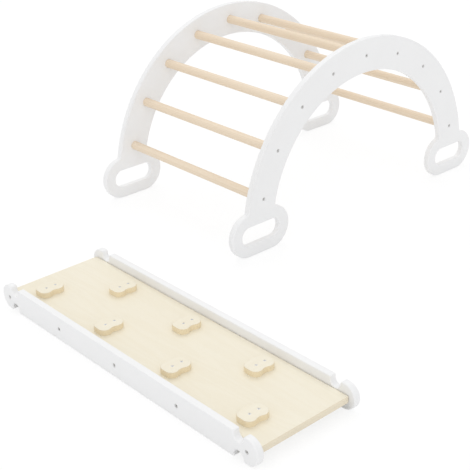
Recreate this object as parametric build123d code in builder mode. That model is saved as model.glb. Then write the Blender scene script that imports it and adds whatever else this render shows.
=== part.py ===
from build123d import *
import math
import os

# Climbing arch with a reversible climbing ramp beside it, in millimetres.
# +Z is up and the floor is Z 0. X runs along the span of the arch and Y runs
# from the near side panel to the far one, which is also the ramp's length.
# The origin is the middle of the whole set's footprint, on the floor.

os.makedirs("parts", exist_ok=True)

# Side panels of the arch
arch_depth = 568.0
panel_thickness = 18.0
band_width = 94.0
arc_centre_height = 55.0
foot_inset = 2.0
foot_length = 202.0
foot_height = 120.5
foot_wall = 34.5
grip_drop = 1.0
band_corner_round = 8.0
edge_round = 3.0

# Rungs, evenly spread along the band, on the middle of its width
rung_count = 9
first_rung_angle = 14.0
rung_circle_radius = 397.0
rung_diameter = 25.0
rung_clearance = 0.2
rung_chamfer = 1.0
recess_depth = 8.0

# Ramp rails and board
rail_thickness = 18.0
rail_screw_count = 5
rail_screw_pitch = 211.5
board_width = 250.4
board_side_gap = 0.8
board_overhang = 16.0
board_thickness = 18.0
board_edge_round = 3.5

# Rung hooks, cut into both edges of each rail end
hook_play = 2.0
hook_flank = 7.5
hook_lift = 1.0
hook_tip_flat = 11.0
hook_tip_round = 7.0
hook_wall_round = 3.5

# Climbing holds
hold_count = 7
hold_offset = 65.0
hold_end_margin = 79.0
hold_length = 66.0
hold_width = 46.0
hold_thickness = 15.0
hold_left_reach = 36.0
hold_left_radius = 16.0
hold_right_radius = 19.0
hold_dent_margin = 4.0
hold_dent_depth = 3.5
hold_dent_round = 14.0
hold_bulge = 2.0
hold_edge_round = 2.5

# Frame screws, with a countersunk head and a hexagon socket
frame_screw_length = 50.0
frame_head_diameter = 10.0
frame_shank_diameter = 6.6
frame_screw_sink = 1.0
frame_socket = 4.0

# Hold screws
hold_screw_bite = 12.0
hold_head_diameter = 7.0
hold_shank_diameter = 4.0
hold_screw_sink = 0.4
hold_screw_spacing = 25.0
hold_socket = 2.5

# All screws
screw_clearance = 0.15
head_rim = 1.0
socket_depth = 2.2
tip_length = 4.0
tip_share = 0.4

# Places of the two pieces of the set
ramp_gap = 251.0
ramp_set_back = 241.0

# How far a round may use up its edge, and how close two places count as one
round_share = 0.9
same_place = 0.01

band_outer_radius = rung_circle_radius + band_width / 2
band_inner_radius = rung_circle_radius - band_width / 2
foot_centre = rung_circle_radius - foot_inset
arch_length = 2 * foot_centre + foot_length
hook_radius = (rung_diameter + hook_play) / 2
rail_height = board_thickness + 2 * (hook_lift + hook_radius + hook_flank)
ramp_width = board_width + 2 * board_side_gap + 2 * rail_thickness
lobe_spacing = (rail_screw_count - 1) * rail_screw_pitch
ramp_length = lobe_spacing + rail_height
board_length = lobe_spacing + 2 * board_overhang
set_length = ramp_width + ramp_gap + arch_length
set_back = max(arch_depth, ramp_set_back)
set_front = min(0.0, ramp_set_back - ramp_length)
near_face_y = -(set_back + set_front) / 2
arch_x = (set_length - arch_length) / 2
ramp_x = -(set_length - ramp_width) / 2
ramp_y = near_face_y + ramp_set_back - ramp_length / 2
rail_middle_z = rail_height / 2
board_top_z = rail_middle_z + board_thickness / 2

# Outer faces of the side panels and rails, each looking away from the set
near_face = Plane((arch_x, near_face_y, arc_centre_height), x_dir=(1, 0, 0), z_dir=(0, -1, 0))
far_face = Plane((arch_x, near_face_y + arch_depth, arc_centre_height), x_dir=(-1, 0, 0), z_dir=(0, 1, 0))
near_rail_face = Plane((ramp_x - ramp_width / 2, ramp_y, rail_middle_z), x_dir=(0, -1, 0), z_dir=(-1, 0, 0))
far_rail_face = Plane((ramp_x + ramp_width / 2, ramp_y, rail_middle_z), x_dir=(0, 1, 0), z_dir=(1, 0, 0))

rung_spread = 180 - 2 * first_rung_angle
rung_spots = list(
    PolarLocations(rung_circle_radius, rung_count, first_rung_angle, rung_spread, endpoint=True)
)
rail_spots = list(GridLocations(rail_screw_pitch, 0, rail_screw_count, 1))


def placed(face, spots, depth=0.0):
    """The spots carried onto a face, or onto a plane that deep below it."""
    return [face.offset(-depth).location * spot for spot in spots]


# Screws and the holes that take them
def turned_screw(length, head_diameter, shank_diameter, clearance=0.0, above=0.0):
    """A screw with its head's top at Z 0, pointing down. Clearance makes it the hole."""
    head = head_diameter / 2 + clearance
    shank = shank_diameter / 2 + clearance
    cone_end = head_rim + (head_diameter - shank_diameter) / 2
    outline = [
        (0, above),
        (head, above),
        (head, -head_rim),
        (shank, -cone_end),
        (shank, -length + tip_length),
        (shank * tip_share, -length - clearance),
        (0, -length - clearance),
    ]
    with BuildPart() as screw:
        with BuildSketch(Plane.XZ):
            with BuildLine():
                Polyline(outline, close=True)
            make_face()
        revolve(axis=Axis.Z)
    return screw.part


def socket_screw(length, head_diameter, shank_diameter, socket):
    """A turned screw with a hexagon socket across its head."""
    with BuildPart() as screw:
        add(turned_screw(length, head_diameter, shank_diameter))
        with BuildSketch():
            RegularPolygon(socket / 2, 6, major_radius=False)
        extrude(amount=-socket_depth, mode=Mode.SUBTRACT)
    return screw.part


frame_screw = socket_screw(frame_screw_length, frame_head_diameter, frame_shank_diameter, frame_socket)
frame_hole = turned_screw(
    frame_screw_length, frame_head_diameter, frame_shank_diameter, screw_clearance, frame_screw_sink
)
hold_screw_length = hold_thickness - hold_screw_sink + hold_screw_bite
hold_screw = socket_screw(hold_screw_length, hold_head_diameter, hold_shank_diameter, hold_socket)
hold_hole = turned_screw(
    hold_screw_length, hold_head_diameter, hold_shank_diameter, screw_clearance, hold_screw_sink
)


# Side panels: one board each, a half ring that ends in two looped feet
def side_panel(outer_face):
    inner_face = outer_face.offset(-panel_thickness)
    with BuildPart() as panel:
        with BuildSketch(outer_face):
            Circle(band_outer_radius)
            Circle(band_inner_radius, mode=Mode.SUBTRACT)
            Rectangle(
                2 * band_outer_radius,
                band_outer_radius,
                align=(Align.CENTER, Align.MAX),
                mode=Mode.SUBTRACT,
            )
            foot_lift = foot_height / 2 - arc_centre_height
            with Locations((-foot_centre, foot_lift), (foot_centre, foot_lift)):
                SlotOverall(foot_length, foot_height)
            # Widened and drawn in again, which rounds the two hollow corners above each foot
            offset(amount=band_corner_round, kind=Kind.INTERSECTION)
            offset(amount=-band_corner_round)
            grip_lift = foot_lift - grip_drop
            with Locations((-foot_centre, grip_lift), (foot_centre, grip_lift)):
                SlotOverall(foot_length - 2 * foot_wall, foot_height - 2 * foot_wall, mode=Mode.SUBTRACT)
        extrude(amount=-panel_thickness)
        fillet(panel.faces().filter_by(Axis.Y).edges(), edge_round)
        with BuildSketch(inner_face):
            with Locations(*rung_spots):
                Circle(rung_diameter / 2 + rung_clearance)
        extrude(amount=recess_depth, mode=Mode.SUBTRACT)
        with Locations(*placed(outer_face, rung_spots, frame_screw_sink)):
            add(frame_hole, mode=Mode.SUBTRACT)
    return panel


near_side_panel = side_panel(near_face)
near_side_panel.part.label = "near_side_panel"
export_step(near_side_panel.part, "parts/near_side_panel.step")

far_side_panel = side_panel(far_face)
far_side_panel.part.label = "far_side_panel"
export_step(far_side_panel.part, "parts/far_side_panel.step")


# Rungs: round bars that stand in shallow recesses in both panels
rung_seat = near_face.offset(recess_depth - panel_thickness)
rung_length = arch_depth - 2 * (panel_thickness - recess_depth)

for number, (near_spot, far_spot) in enumerate(zip(rung_spots, reversed(rung_spots)), start=1):
    with BuildPart() as rung:
        with BuildSketch(rung_seat):
            with Locations(near_spot):
                Circle(rung_diameter / 2)
        extrude(amount=-rung_length)
        chamfer(rung.edges().filter_by(GeomType.CIRCLE), rung_chamfer)
        ends = placed(near_face, [near_spot], frame_screw_sink)
        ends += placed(far_face, [far_spot], frame_screw_sink)
        with Locations(*ends):
            add(frame_hole, mode=Mode.SUBTRACT)
    rung.part.label = f"rung_{number}"
    export_step(rung.part, f"parts/rung_{number}.step")


# Frame screws, one group for each board that they go through
def frame_screw_group(face, spots):
    with BuildPart() as screws:
        with Locations(*placed(face, spots, frame_screw_sink)):
            add(frame_screw)
    return screws


near_panel_screws = frame_screw_group(near_face, rung_spots)
near_panel_screws.part.label = "near_panel_screws"
export_step(near_panel_screws.part, "parts/near_panel_screws.step")

far_panel_screws = frame_screw_group(far_face, rung_spots)
far_panel_screws.part.label = "far_panel_screws"
export_step(far_panel_screws.part, "parts/far_panel_screws.step")

near_rail_screws = frame_screw_group(near_rail_face, rail_spots)
near_rail_screws.part.label = "near_rail_screws"
export_step(near_rail_screws.part, "parts/near_rail_screws.step")

far_rail_screws = frame_screw_group(far_rail_face, rail_spots)
far_rail_screws.part.label = "far_rail_screws"
export_step(far_rail_screws.part, "parts/far_rail_screws.step")


# Rails: a hook at both ends, open upwards and downwards, so the ramp turns over
def ramp_rail(outer_face):
    mouth_y = rail_height / 2
    hook_y = mouth_y - hook_flank
    hook_x = lobe_spacing / 2 - hook_tip_flat - hook_radius
    tip_round = min(hook_tip_round, round_share * hook_tip_flat, hook_flank - same_place)
    wall_round = min(hook_wall_round, hook_flank - same_place)
    with BuildPart() as rail:
        with BuildSketch(outer_face) as outline:
            SlotOverall(ramp_length, rail_height)
            with Locations(*[(x, y) for x in (-hook_x, hook_x) for y in (-hook_y, hook_y)]):
                Circle(hook_radius, mode=Mode.SUBTRACT)
            with Locations(*[(x, y) for x in (-hook_x, hook_x) for y in (-mouth_y, mouth_y)]):
                Rectangle(2 * hook_radius, 2 * hook_flank, mode=Mode.SUBTRACT)
            flanks = [(hook_x + hook_radius, tip_round), (hook_x - hook_radius, wall_round)]
            for flank_x, corner_round in flanks:
                corners = [
                    corner
                    for corner in outline.vertices()
                    if abs(abs(corner.X) - flank_x) < same_place and abs(abs(corner.Y) - mouth_y) < same_place
                ]
                fillet(corners, corner_round)
        extrude(amount=-rail_thickness)
        fillet(rail.faces().filter_by(Axis.X).edges(), min(edge_round, round_share * wall_round))
        with Locations(*placed(outer_face, rail_spots, frame_screw_sink)):
            add(frame_hole, mode=Mode.SUBTRACT)
    return rail


near_rail = ramp_rail(near_rail_face)
near_rail.part.label = "near_rail"
export_step(near_rail.part, "parts/near_rail.step")

far_rail = ramp_rail(far_rail_face)
far_rail.part.label = "far_rail"
export_step(far_rail.part, "parts/far_rail.step")


# Places of the holds, in a zigzag up the board
board_top = Plane((ramp_x, ramp_y, board_top_z))
hold_pitch = (board_length - 2 * hold_end_margin) / (hold_count - 1)
hold_places = [
    board_top.offset(hold_thickness).location
    * Location(((-1) ** (turn + 1) * hold_offset, board_length / 2 - hold_end_margin - turn * hold_pitch, 0))
    for turn in range(hold_count)
]
hold_screw_spots = [
    spot * Location((0, 0, -hold_screw_sink)) for spot in GridLocations(hold_screw_spacing, 0, 2, 1)
]
hold_screw_places = [place * spot for place in hold_places for spot in hold_screw_spots]


# Board: plywood, screwed through the rails into its long edges
with BuildPart() as ramp_board:
    with BuildSketch(board_top):
        Rectangle(board_width, board_length)
    extrude(amount=-board_thickness)
    fillet(ramp_board.edges(), board_edge_round)
    with Locations(*placed(near_rail_face, rail_spots, frame_screw_sink)):
        add(frame_hole, mode=Mode.SUBTRACT)
    with Locations(*placed(far_rail_face, rail_spots, frame_screw_sink)):
        add(frame_hole, mode=Mode.SUBTRACT)
    with Locations(*hold_screw_places):
        add(hold_hole, mode=Mode.SUBTRACT)
ramp_board.part.label = "ramp_board"
export_step(ramp_board.part, "parts/ramp_board.step")


# Holds: plywood beans with a dent in the lower edge and a fuller upper edge
def arc_radius(chord, height):
    """The radius of the arc that stands that high over that chord."""
    return (chord * chord / 4 + height * height) / (2 * height)


hold_middle = hold_length / 2 - hold_left_reach
straight_start = hold_left_radius - hold_left_reach
straight_end = hold_length - hold_left_reach - hold_right_radius
straight_middle = (straight_start + straight_end) / 2
hold_dent_width = straight_end - straight_start - 2 * hold_dent_margin
dent_radius = arc_radius(hold_dent_width, hold_dent_depth)
dent_turn = math.asin(hold_dent_width / 2 / dent_radius)
widest_dent_round = round_share * hold_dent_margin / math.tan(dent_turn / 2)

with BuildSketch() as hold_outline:
    with Locations((hold_middle, 0)):
        Rectangle(hold_length, hold_width)
    fillet([corner for corner in hold_outline.vertices() if corner.X < hold_middle], hold_left_radius)
    right_corners = hold_outline.vertices().group_by(Axis.X)[-1]
    fillet(right_corners, hold_right_radius)
    with BuildLine():
        bulge = ThreePointArc(
            (straight_start, hold_width / 2),
            (straight_middle, hold_width / 2 + hold_bulge),
            (straight_end, hold_width / 2),
        )
        Line(bulge @ 1, bulge @ 0)
    make_face()
    with Locations((straight_middle, hold_dent_depth - hold_width / 2 - dent_radius)):
        Circle(dent_radius, mode=Mode.SUBTRACT)
    dent_corners = [
        corner
        for corner in hold_outline.vertices()
        if corner.Y < 0 and abs(abs(corner.X - straight_middle) - hold_dent_width / 2) < same_place
    ]
    fillet(dent_corners, min(hold_dent_round, widest_dent_round))

for number, place in enumerate(hold_places, start=1):
    with BuildPart() as hold:
        with BuildSketch(Plane(place)):
            add(hold_outline.sketch)
        extrude(amount=-hold_thickness)
        fillet(hold.faces().sort_by(Axis.Z)[-1].edges(), hold_edge_round)
        with Locations(*[place * spot for spot in hold_screw_spots]):
            add(hold_hole, mode=Mode.SUBTRACT)
    hold.part.label = f"hold_{number}"
    export_step(hold.part, f"parts/hold_{number}.step")

with BuildPart() as hold_screws:
    with Locations(*hold_screw_places):
        add(hold_screw)
hold_screws.part.label = "hold_screws"
export_step(hold_screws.part, "parts/hold_screws.step")
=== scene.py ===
import math

import bpy
import numpy as np
from mathutils import Matrix, Vector


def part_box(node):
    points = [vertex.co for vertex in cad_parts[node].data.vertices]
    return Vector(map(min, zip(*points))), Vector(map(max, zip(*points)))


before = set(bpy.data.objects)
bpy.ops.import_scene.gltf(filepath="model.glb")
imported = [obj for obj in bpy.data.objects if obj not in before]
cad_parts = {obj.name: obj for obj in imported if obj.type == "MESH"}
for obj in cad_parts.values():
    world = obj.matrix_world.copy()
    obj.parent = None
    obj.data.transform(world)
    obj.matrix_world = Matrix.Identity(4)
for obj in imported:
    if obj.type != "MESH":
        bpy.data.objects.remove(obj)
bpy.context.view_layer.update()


# Camera: a long lens, a little above and to the left of the set, that takes in
# the whole ramp at the lower left and the whole arch at the upper right.
camera_place = Vector((-1.8971, -1.8463, 1.3148))
camera_turn = math.radians(-41.52)
camera_dip = math.radians(25.94)
camera_roll = math.radians(-1.39)

camera_data = bpy.data.cameras.new("camera")
camera_data.sensor_width = 36.0
camera_data.lens = 83.94
camera_data.clip_end = 100.0
camera = bpy.data.objects.new("camera", camera_data)
back = Vector((
    math.sin(camera_turn) * math.cos(camera_dip),
    -math.cos(camera_turn) * math.cos(camera_dip),
    math.sin(camera_dip),
))
level_view = (-back).to_track_quat("-Z", "Y").to_matrix().to_4x4()
camera.matrix_world = Matrix.Translation(camera_place) @ level_view @ Matrix.Rotation(camera_roll, 4, "Z")
bpy.context.scene.collection.objects.link(camera)
bpy.context.scene.camera = camera


# Side panels: two half rings of 18 mm board with a looped foot at each end, cut
# in one piece and rounded over at the edges. The whole board is sprayed with a
# satin white paint that keeps a very fine orange peel.
paint_white = (0.893, 0.895, 0.90, 1.0)
paint_thin = (0.88, 0.881, 0.885, 1.0)
paint_roughness = (0.36, 0.44)
peel_per_metre = 620.0
peel_depth = 0.00003
cloud_per_metre = 7.0


def new_finish(name):
    """A material with its node tree and the surface shader in it."""
    finish = bpy.data.materials.new(name)
    finish.use_nodes = True
    tree = finish.node_tree
    return finish, tree, tree.nodes["Principled BSDF"]


def wire(tree, kind, inputs=None, **settings):
    """A node with its settings. An input that is a socket is linked, and any other is set."""
    made = tree.nodes.new(kind)
    for name, value in settings.items():
        setattr(made, name, value)
    for name, value in (inputs or {}).items():
        if isinstance(value, bpy.types.NodeSocket):
            tree.links.new(value, made.inputs[name])
        else:
            made.inputs[name].default_value = value
    return made


def figure(tree, operation, first, second=0.0):
    """One sum on two numbers or sockets, as a socket."""
    return wire(tree, "ShaderNodeMath", {0: first, 1: second}, operation=operation).outputs[0]


def blend_colours(tree, share, first, second):
    """The first colour where the share is 0 and the second where it is 1, as a socket."""
    made = wire(tree, "ShaderNodeMix", {0: share, 6: first, 7: second}, data_type="RGBA")
    return made.outputs[2]


def stretched(tree, scale, turn=(0.0, 0.0, 0.0)):
    """The place on the object in metres, drawn out along each axis by a scale."""
    place = wire(tree, "ShaderNodeTexCoord").outputs["Object"]
    made = wire(tree, "ShaderNodeMapping", {"Vector": place, "Scale": scale, "Rotation": turn})
    return made.outputs["Vector"]


def noise(tree, place, scale=1.0, detail=3.0, roughness=0.5):
    """Soft random grey from 0 to 1, as a socket."""
    made = wire(tree, "ShaderNodeTexNoise", {
        "Vector": place, "Scale": scale, "Detail": detail, "Roughness": roughness,
    })
    return made.outputs[0]


def spread(tree, value, low, high):
    """The value drawn out so that low becomes 0 and high becomes 1, cut off at both."""
    made = wire(tree, "ShaderNodeMapRange", {0: value, 1: low, 2: high}, clamp=True)
    return made.outputs[0]


def between(tree, share, low, high):
    """A share from 0 to 1 as a value between low and high, as a socket."""
    made = wire(tree, "ShaderNodeMapRange", {0: share, 3: low, 4: high}, clamp=True)
    return made.outputs[0]


def raise_surface(tree, shader, height, depth):
    """Bumps as deep as that, in metres, where the height goes from 0 to 1."""
    bump = wire(tree, "ShaderNodeBump", {"Height": height, "Distance": depth, "Strength": 1.0})
    tree.links.new(bump.outputs["Normal"], shader.inputs["Normal"])


def paint_finish():
    """Satin white paint: an even coat, thinner in soft clouds, with a fine peel that breaks its sheen."""
    finish, tree, shader = new_finish("satin_white_paint")
    plain = stretched(tree, (1.0, 1.0, 1.0))
    cloud = noise(tree, plain, cloud_per_metre, 2.0)
    peel = noise(tree, plain, peel_per_metre, 1.0)
    share = spread(tree, cloud, 0.35, 0.65)
    tree.links.new(blend_colours(tree, share, paint_white, paint_thin), shader.inputs["Base Color"])
    tree.links.new(between(tree, peel, *paint_roughness), shader.inputs["Roughness"])
    raise_surface(tree, shader, peel, peel_depth)
    return finish


def dress(names, finish):
    """Gives CAD pieces a finish in place of their plain one."""
    for name in names:
        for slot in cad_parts[name].material_slots:
            slot.material = finish


white_paint = paint_finish()
dress(["near_side_panel", "far_side_panel"], white_paint)


# Rungs: nine round beech bars of 25 mm, sanded and left pale under a matte
# lacquer, and held at both ends by a screw through the panel. The grain runs
# along the bar, with short dark flecks.
beech_pale = (0.87, 0.745, 0.59, 1.0)
beech_warm = (0.81, 0.66, 0.49, 1.0)
beech_fleck = (0.50, 0.33, 0.19, 1.0)
beech_roughness = (0.42, 0.58)
ring_scale = 95.0
ring_stretch = (1.0, 0.02, 1.0)
beech_fibres = (900.0, 14.0, 900.0)
beech_zones = (14.0, 2.2, 14.0)
beech_flecks = (1500.0, 130.0, 1500.0)
fleck_strength = 0.35
beech_fibre_depth = 0.00006


def beech_finish():
    """Growth rings cut lengthwise, fine fibres and flecks, all drawn out along Y."""
    finish, tree, shader = new_finish("beech_bar")
    rings = wire(tree, "ShaderNodeTexWave", {
        "Vector": stretched(tree, ring_stretch),
        "Scale": ring_scale, "Distortion": 5.0, "Detail": 2.0, "Detail Scale": 0.35,
    }, wave_type="RINGS", rings_direction="Y").outputs["Fac"]
    fibres = noise(tree, stretched(tree, beech_fibres), 1.0, 3.0)
    zones = noise(tree, stretched(tree, beech_zones), 1.0, 2.0)
    tone = figure(tree, "ADD", figure(tree, "MULTIPLY", rings, 0.35), figure(tree, "MULTIPLY", fibres, 0.5))
    tone = figure(tree, "ADD", tone, figure(tree, "MULTIPLY", zones, 0.6))
    share = spread(tree, tone, 0.42, 1.05)
    wood = blend_colours(tree, share, beech_pale, beech_warm)
    flecks = spread(tree, noise(tree, stretched(tree, beech_flecks), 1.0, 1.0), 0.66, 0.76)
    wood = blend_colours(tree, figure(tree, "MULTIPLY", flecks, fleck_strength), wood, beech_fleck)
    tree.links.new(wood, shader.inputs["Base Color"])
    tree.links.new(between(tree, fibres, *beech_roughness), shader.inputs["Roughness"])
    raise_surface(tree, shader, fibres, beech_fibre_depth)
    return finish


rungs = [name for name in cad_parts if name.startswith("rung_")]
dress(rungs, beech_finish())


# Screws: zinc plated, with a countersunk head and a hexagon socket, sunk a
# little below the surface. The large ones hold the rungs and the ramp's board,
# and the small ones hold the climbing holds.
zinc_bright = (0.70, 0.695, 0.68, 1.0)
zinc_dull = (0.60, 0.598, 0.59, 1.0)
zinc_roughness = (0.30, 0.60)
zinc_patches = 900.0
zinc_dent = 0.00002


def zinc_finish():
    """Bright zinc plate, with small patches that are a little duller and rougher."""
    finish, tree, shader = new_finish("zinc_plate")
    patches = noise(tree, stretched(tree, (1.0, 1.0, 1.0)), zinc_patches, 2.0)
    tree.links.new(blend_colours(tree, patches, zinc_bright, zinc_dull), shader.inputs["Base Color"])
    shader.inputs["Metallic"].default_value = 1.0
    tree.links.new(between(tree, patches, *zinc_roughness), shader.inputs["Roughness"])
    raise_surface(tree, shader, patches, zinc_dent)
    return finish


screws = [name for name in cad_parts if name.endswith("_screws")]
dress(screws, zinc_finish())


# Ramp rails: two 18 mm boards on edge with a hook at each end, painted like the
# side panels. The rungs of the arch sit in the hooks, either way up.
dress(["near_rail", "far_rail"], white_paint)


# Ramp board: birch plywood of 18 mm, thirteen layers, with its pale face grain
# along the ramp. It is screwed between the rails, and its layers show where
# the edges are rounded over.
birch_pale = (0.88, 0.825, 0.685, 1.0)
birch_warm = (0.85, 0.785, 0.63, 1.0)
board_edge = ((0.90, 0.83, 0.68, 1.0), (0.80, 0.71, 0.54, 1.0))
glue_brown = (0.60, 0.46, 0.31, 1.0)
plywood_roughness = (0.42, 0.55)
face_layer = 0.001
glue_share = 0.07
glue_strength = 0.7
grain_along = 1.3
grain_across = 11.0
grain_lines = 75.0
fibres_finer = 60.0
cloud_scale = (5.0, 3.0, 5.0)
pore_scale = (700.0, 700.0, 250.0)
pore_strength = 0.35
plywood_fibre_depth = 0.00004


def plywood_finish(name, node, layers, grain, edge_colours):
    """Birch plywood that lies flat in the box of a node, with so many layers.

    How deep a point lies under the nearer face picks its layer, light and dark
    in turn with a brown glue line between them. The face grain is the contour
    lines of a soft noise drawn out along the grain.
    """
    edge_light, edge_dark = edge_colours
    low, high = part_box(node)
    half = (high[2] - low[2]) / 2
    middle = (high[2] + low[2]) / 2
    layer = (half - face_layer) / ((layers - 2) / 2)
    finish, tree, shader = new_finish(name)
    along_y = (grain_across, grain_along, grain_across)
    along_x = (grain_along, grain_across, grain_across)
    scale = along_y if grain == "Y" else along_x
    figure_noise = noise(tree, stretched(tree, scale), 1.0, 3.0, 0.45)
    lines = figure(tree, "SINE", figure(tree, "MULTIPLY", figure_noise, grain_lines))
    lines = spread(tree, lines, -1.0, 1.0)
    fine = tuple(fibres_finer * value for value in scale)
    fibres = noise(tree, stretched(tree, fine), 1.0, 3.0)
    clouds = noise(tree, stretched(tree, cloud_scale), 1.0, 2.0)
    tone = figure(tree, "ADD", figure(tree, "MULTIPLY", lines, 0.22), figure(tree, "MULTIPLY", fibres, 0.5))
    tone = figure(tree, "ADD", tone, figure(tree, "MULTIPLY", clouds, 0.7))
    face = blend_colours(tree, spread(tree, tone, 0.45, 1.05), birch_pale, birch_warm)

    place = wire(tree, "ShaderNodeTexCoord").outputs["Object"]
    height = wire(tree, "ShaderNodeSeparateXYZ", {0: place}).outputs["Z"]
    from_middle = figure(tree, "ABSOLUTE", figure(tree, "SUBTRACT", height, middle))
    count = figure(tree, "DIVIDE", figure(tree, "SUBTRACT", half - face_layer, from_middle), layer)
    odd = figure(tree, "MODULO", figure(tree, "FLOOR", count), 2.0)
    in_layer = figure(tree, "FRACT", count)
    to_glue = figure(tree, "ABSOLUTE", figure(tree, "SUBTRACT", in_layer, 0.5))
    glue = spread(tree, to_glue, 0.5 - glue_share, 0.5)
    pores = spread(tree, noise(tree, stretched(tree, pore_scale), 1.0, 2.0), 0.4, 0.75)
    edge = blend_colours(tree, odd, edge_dark, edge_light)
    edge = blend_colours(tree, figure(tree, "MULTIPLY", pores, pore_strength), edge, edge_dark)
    edge = blend_colours(tree, figure(tree, "MULTIPLY", glue, glue_strength), edge, glue_brown)
    outside = figure(tree, "LESS_THAN", count, 0.0)
    tree.links.new(blend_colours(tree, outside, edge, face), shader.inputs["Base Color"])
    tree.links.new(between(tree, fibres, *plywood_roughness), shader.inputs["Roughness"])
    raise_surface(tree, shader, fibres, plywood_fibre_depth)
    return finish


board_layers = 13
dress(["ramp_board"], plywood_finish("birch_board", "ramp_board", board_layers, "Y", board_edge))


# Climbing holds: beans of birch plywood, eleven layers, each held flat on the
# board by two small screws. Their upper edges are rounded over, and the cut
# sides are a little yellower than the board's.
hold_edge = ((0.92, 0.81, 0.59, 1.0), (0.81, 0.68, 0.46, 1.0))
hold_layers = 11

holds = [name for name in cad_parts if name.startswith("hold_") and not name.endswith("screws")]
dress(holds, plywood_finish("birch_hold", holds[0], hold_layers, "X", hold_edge))


# Floor and light: a plain white studio floor under an even white sky, a soft
# lamp above and behind the set and a wide low one in front. The floor's white
# is its own, and it still takes the set's shadow.
floor_half = 20.0
floor_glow = 0.80
floor_shade = 0.22
floor_bounce = 0.93

floor_mesh = bpy.data.meshes.new("floor")
corners = floor_half * np.array([(-1, -1, 0), (1, -1, 0), (1, 1, 0), (-1, 1, 0)], dtype=float)
floor_mesh.from_pydata(corners.tolist(), [], [(0, 1, 2, 3)])
floor = bpy.data.objects.new("floor", floor_mesh)
bpy.context.scene.collection.objects.link(floor)

floor_finish, tree, shader = new_finish("studio_floor")
tree.nodes.remove(shader)
paths = wire(tree, "ShaderNodeLightPath")
seen = figure(tree, "MAXIMUM", paths.outputs["Is Camera Ray"], paths.outputs["Is Glossy Ray"])
seen = figure(tree, "MAXIMUM", seen, paths.outputs["Is Transmission Ray"])
bounce = wire(tree, "ShaderNodeBsdfDiffuse", {"Color": (floor_bounce, floor_bounce, floor_bounce, 1.0)})
shaded = wire(tree, "ShaderNodeBsdfDiffuse", {"Color": (floor_shade, floor_shade, floor_shade, 1.0)})
glow = wire(tree, "ShaderNodeEmission", {"Color": (1.0, 1.0, 1.0, 1.0), "Strength": floor_glow})
shown = wire(tree, "ShaderNodeAddShader", {0: shaded.outputs[0], 1: glow.outputs[0]})
above = wire(tree, "ShaderNodeMixShader", {0: seen, 1: bounce.outputs[0], 2: shown.outputs[0]})
under = wire(tree, "ShaderNodeBsdfTransparent")
side = wire(tree, "ShaderNodeNewGeometry").outputs["Backfacing"]
either = wire(tree, "ShaderNodeMixShader", {0: side, 1: above.outputs[0], 2: under.outputs[0]})
tree.links.new(either.outputs[0], tree.nodes["Material Output"].inputs["Surface"])
floor_mesh.materials.append(floor_finish)

world = bpy.data.worlds.new("studio")
bpy.context.scene.world = world
world.use_nodes = True
sky_strength = 0.78
tree = world.node_tree
sky = tree.nodes["Background"]
sky.inputs["Color"].default_value = (1.0, 1.0, 1.0, 1.0)
paths = wire(tree, "ShaderNodeLightPath")
seen = figure(tree, "MAXIMUM", paths.outputs["Is Camera Ray"], paths.outputs["Is Glossy Ray"])
seen = figure(tree, "MAXIMUM", seen, paths.outputs["Is Transmission Ray"])
strength = figure(tree, "MULTIPLY_ADD", seen, 1.0 - sky_strength)
strength.node.inputs[2].default_value = sky_strength
tree.links.new(strength, sky.inputs["Strength"])

# Each lamp's name, strength, width in degrees and way
lamps = [
    ("back_lamp", 0.57, 50.0, (-0.30, -0.38, -0.88)),
    ("front_lamp", 0.52, 80.0, (0.62, 0.68, -0.38)),
]
for name, energy, width, way in lamps:
    lamp_data = bpy.data.lights.new(name, "SUN")
    lamp_data.energy = energy
    lamp_data.angle = math.radians(width)
    lamp = bpy.data.objects.new(name, lamp_data)
    lamp.rotation_mode = "QUATERNION"
    lamp.rotation_quaternion = Vector(way).to_track_quat("-Z", "Y")
    bpy.context.scene.collection.objects.link(lamp)

bpy.context.scene.view_settings.view_transform = "Standard"
